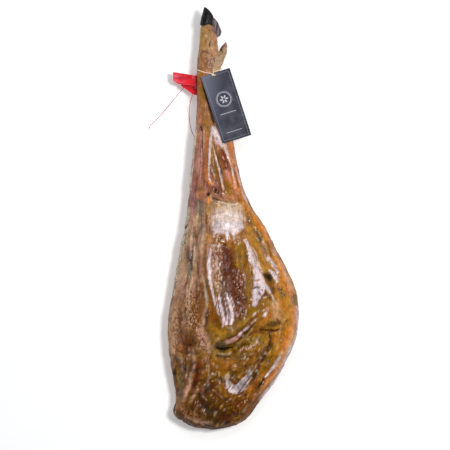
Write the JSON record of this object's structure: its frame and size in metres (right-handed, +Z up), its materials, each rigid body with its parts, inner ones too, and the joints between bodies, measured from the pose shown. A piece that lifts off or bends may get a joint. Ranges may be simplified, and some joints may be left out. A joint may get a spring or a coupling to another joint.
{
  "type": "cured ham",
  "caption": "Whole dry-cured leg of ham with its trotter, lying on its skin side, with a hang tag on twine and a folded red seal on a thin string at the ankle.",
  "frame": {"origin": "middle of the ham's box in plan, on the surface it lies on", "axes": "+Y along the leg towards the hoof, +Z up out of the trimmed inner side, +X towards the thick rind edge"},
  "size_m": [0.3036, 0.846, 0.1285],
  "materials": {
    "cured_meat": "oily, dried meat, fat and rind, amber to dark brown with pale fat and grey mould",
    "black_horn": "dull black horn with fine growth rings",
    "grey_horn": "dull grey-brown horn",
    "tag_card": "satin coated slate grey card with a pale printed pattern of plain shapes",
    "twine_cotton": "cream twisted cotton twine",
    "seal_film": "glossy translucent red film, creased",
    "red_string": "thin red and white twisted string"
  },
  "bodies": {
    "root": {"ham": "cured_meat", "claw_near": "black_horn", "claw_far": "grey_horn", "dewclaw_near": "grey_horn", "dewclaw_far": "grey_horn", "tag": "tag_card", "twine": "twine_cotton", "seal": "seal_film", "string_loop": "red_string", "seal_string_long": "red_string", "seal_string_short": "red_string"}
  },
  "joints": []
}
